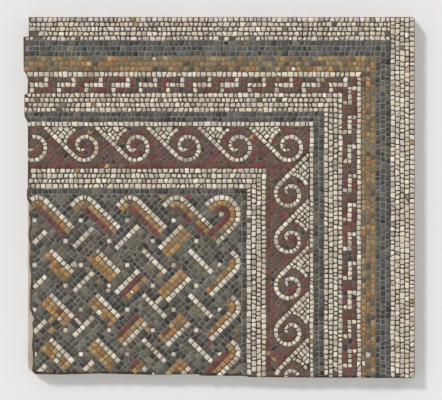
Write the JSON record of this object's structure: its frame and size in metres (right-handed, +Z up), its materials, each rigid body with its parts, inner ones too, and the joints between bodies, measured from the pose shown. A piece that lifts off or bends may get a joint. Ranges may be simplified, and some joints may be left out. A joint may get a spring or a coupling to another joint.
{
  "type": "mosaic panel",
  "caption": "Square fragment of stone floor mosaic with an interlaced field, wave scroll and banded borders on two sides, backed by a plaster slab to hang on a wall.",
  "frame": {"origin": "centre of the flat back of the backing slab, which meets the wall", "axes": "+X to the right as seen from the front, +Y from the picture face through the back to the wall, +Z up"},
  "size_m": [0.982, 0.0506, 0.906],
  "materials": {
    "plaster": "cast plaster, matt, a little dirty at the edge",
    "mortar": "coarse lime mortar, matt, grey brown",
    "white_stone": "cream limestone tesserae, hand cut, honed by wear",
    "dark_stone": "slate grey limestone tesserae, hand cut",
    "ochre_stone": "ochre and orange limestone tesserae, hand cut",
    "red_stone": "dark red and purple brown limestone tesserae, hand cut",
    "grey_green_stone": "grey green limestone tesserae, hand cut"
  },
  "bodies": {
    "root": {"backing_slab": "plaster", "corner_loop": "red_stone", "falling_strand_1_1": "grey_green_stone", "falling_strand_1_2": "grey_green_stone", "falling_strand_1_3": "ochre_stone", "falling_strand_1_4": "ochre_stone", "falling_strand_2_1": "grey_green_stone", "falling_strand_2_2": "grey_green_stone", "falling_strand_2_3": "ochre_stone", "falling_strand_2_4": "ochre_stone", "falling_strand_3_1": "grey_green_stone", "falling_strand_3_2": "grey_green_stone", "falling_strand_3_3": "ochre_stone", "falling_strand_3_4": "ochre_stone", "field_ground": "dark_stone", "field_slate_line": "dark_stone", "inner_slate_band": "dark_stone", "inner_white_band": "white_stone", "middle_white_band": "white_stone", "mortar_bed": "mortar", "ochre_band": "ochre_stone", "outer_slate_band": "dark_stone", "outer_white_border": "white_stone", "outer_white_fillet": "white_stone", "rising_strand_1_1": "ochre_stone", "rising_strand_1_2": "grey_green_stone", "rising_strand_1_3": "grey_green_stone", "rising_strand_1_4": "grey_green_stone", "rising_strand_2_1": "ochre_stone", "rising_strand_2_2": "grey_green_stone", "rising_strand_2_3": "grey_green_stone", "rising_strand_2_4": "grey_green_stone", "rising_strand_3_1": "ochre_stone", "rising_strand_3_2": "grey_green_stone", "rising_strand_3_3": "grey_green_stone", "rising_strand_3_4": "grey_green_stone", "rising_strand_4_1": "ochre_stone", "rising_strand_4_2": "grey_green_stone", "rising_strand_4_3": "grey_green_stone", "rising_strand_4_4": "grey_green_stone", "scroll_ground": "red_stone", "scroll_ground_cut_off_1": "red_stone", "scroll_ground_cut_off_2": "red_stone", "scroll_ground_cut_off_3": "red_stone", "side_loop_1": "ochre_stone", "side_loop_2": "ochre_stone", "side_loop_3": "ochre_stone", "stepped_fillet": "red_stone", "top_loop_1": "red_stone", "top_loop_2": "red_stone", "top_loop_3": "red_stone", "top_loop_4": "red_stone", "wave_scrolls": "white_stone", "wave_scrolls_cut_off_1": "white_stone", "wave_scrolls_cut_off_2": "white_stone", "wave_scrolls_cut_off_3": "white_stone"}
  },
  "joints": []
}
